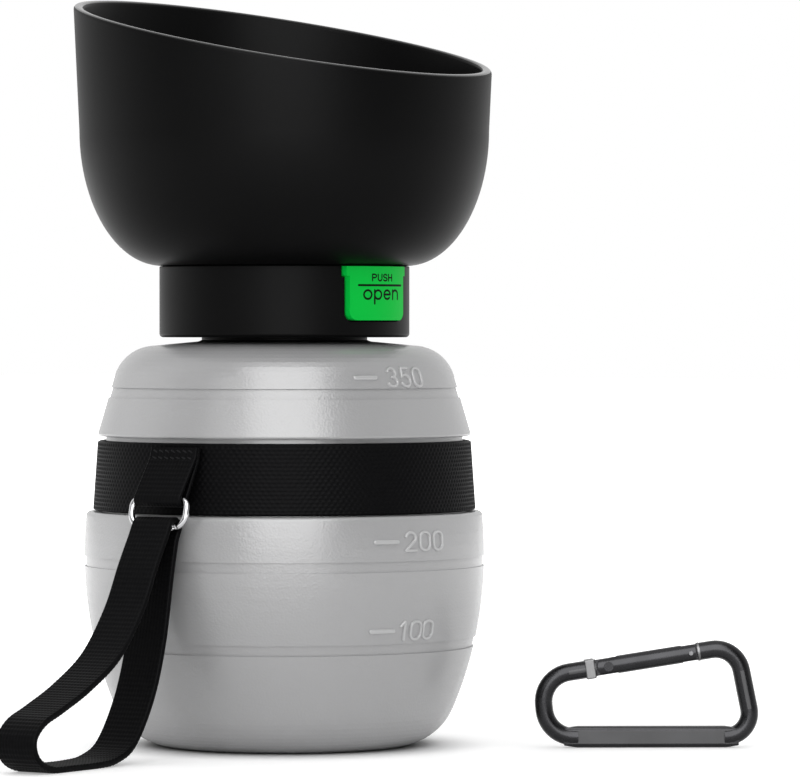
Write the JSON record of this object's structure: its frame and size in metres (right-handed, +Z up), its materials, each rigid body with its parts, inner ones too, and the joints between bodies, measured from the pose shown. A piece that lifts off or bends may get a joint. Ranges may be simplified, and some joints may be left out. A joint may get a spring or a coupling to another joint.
{
  "type": "dog travel water bottle",
  "caption": "Squeezable dog water bottle with a push-button valve cap, a lift-off slanted drinking bowl, a wrist strap on a ring and a small carabiner.",
  "frame": {"origin": "middle of the flat base, on the surface that the bottle stands on", "axes": "+Z up the bottle's axis, -Y to the front, where the push button and the low side of the bowl's rim are, +X to the right seen from the front"},
  "size_m": [0.1561, 0.1265, 0.1613],
  "materials": {
    "grey_silicone": "satin",
    "black_plastic": "matte",
    "black_gloss": "gloss",
    "green_plastic": "satin",
    "black_webbing": "woven",
    "seal_rubber": "matte",
    "bright_steel": "polished",
    "dark_steel": "satin",
    "black_anodised": "satin"
  },
  "bodies": {
    "bottle": {"bottle_body": "grey_silicone", "neck_ring": "black_plastic", "waist_band": "black_webbing", "dring_tab": "black_webbing"},
    "gasket": {"cap_gasket": "seal_rubber"},
    "cap": {"cap_body": "black_plastic", "cap_cover": "black_plastic", "gland_washer": "bright_steel", "plunger_seal": "seal_rubber", "bowl_seal": "seal_rubber", "valve_spring": "bright_steel", "button_spring": "bright_steel"},
    "valve": {"valve_stem": "black_plastic", "valve_head": "black_gloss", "head_seal": "seal_rubber", "spring_retainer": "bright_steel"},
    "button": {"push_button": "green_plastic"},
    "bowl": {"bowl": "black_plastic"},
    "ring": {"d_ring": "bright_steel"},
    "strap": {"wrist_strap": "black_webbing"},
    "carabiner": {"carabiner_body": "black_anodised", "gate_rivet": "dark_steel"},
    "gate": {"carabiner_gate": "black_anodised", "latch_pin": "dark_steel", "gate_spring": "bright_steel", "gate_plunger": "bright_steel"}
  },
  "joints": [
    {"name": "cap_rise", "type": "slide", "parent": "bottle", "child": "gasket", "axis": [0, 0, 1], "range_m": [0, 0.008]},
    {"name": "cap_turn", "type": "hinge", "parent": "gasket", "child": "cap", "pos_m": [0, 0, 0.0947], "axis": [0, 0, 1], "range_deg": [0, 720]},
    {"name": "button_press", "type": "slide", "parent": "cap", "child": "button", "axis": [0, 1, 0], "range_m": [0, 0.002], "stiffness_N_per_m": 600, "springref_m": -0.003, "deforming": ["button_spring"]},
    {"name": "valve_lift", "type": "slide", "parent": "cap", "child": "valve", "axis": [0, 0, 1], "range_m": [0, 0.002], "stiffness_N_per_m": 300, "springref_m": -0.003, "deforming": ["valve_spring"]},
    {"name": "bowl_lift", "type": "slide", "parent": "cap", "child": "bowl", "axis": [0, 0, 1], "range_m": [0, 0.06]},
    {"name": "ring_swing", "type": "hinge", "parent": "bottle", "child": "ring", "pos_m": [-0.04441, -0.00624, 0.0539], "axis": [-0.1392, 0.9903, 0], "range_deg": [0, 75]},
    {"name": "strap_swing", "type": "hinge", "parent": "ring", "child": "strap", "pos_m": [-0.04569, -0.00642, 0.04753], "axis": [-0.1392, 0.9903, 0], "range_deg": [0, 60]},
    {"name": "carabiner_lift", "type": "slide", "parent": "bottle", "child": "carabiner", "axis": [0, 0, 1], "range_m": [0, 0.06]},
    {"name": "gate_open", "type": "hinge", "parent": "carabiner", "child": "gate", "pos_m": [0.03969, -0.05722, 0.01738], "axis": [0.7314, 0.682, 0], "range_deg": [0, 25], "stiffness_Nm_per_rad": 0.02, "springref_deg": -17.19}
  ],
  "couplings": [
    {"joint": "cap_rise", "follows": "cap_turn", "m_per_rad": 0.00063662},
    {"joint": "valve_lift", "follows": "button_press", "ratio": 1}
  ]
}
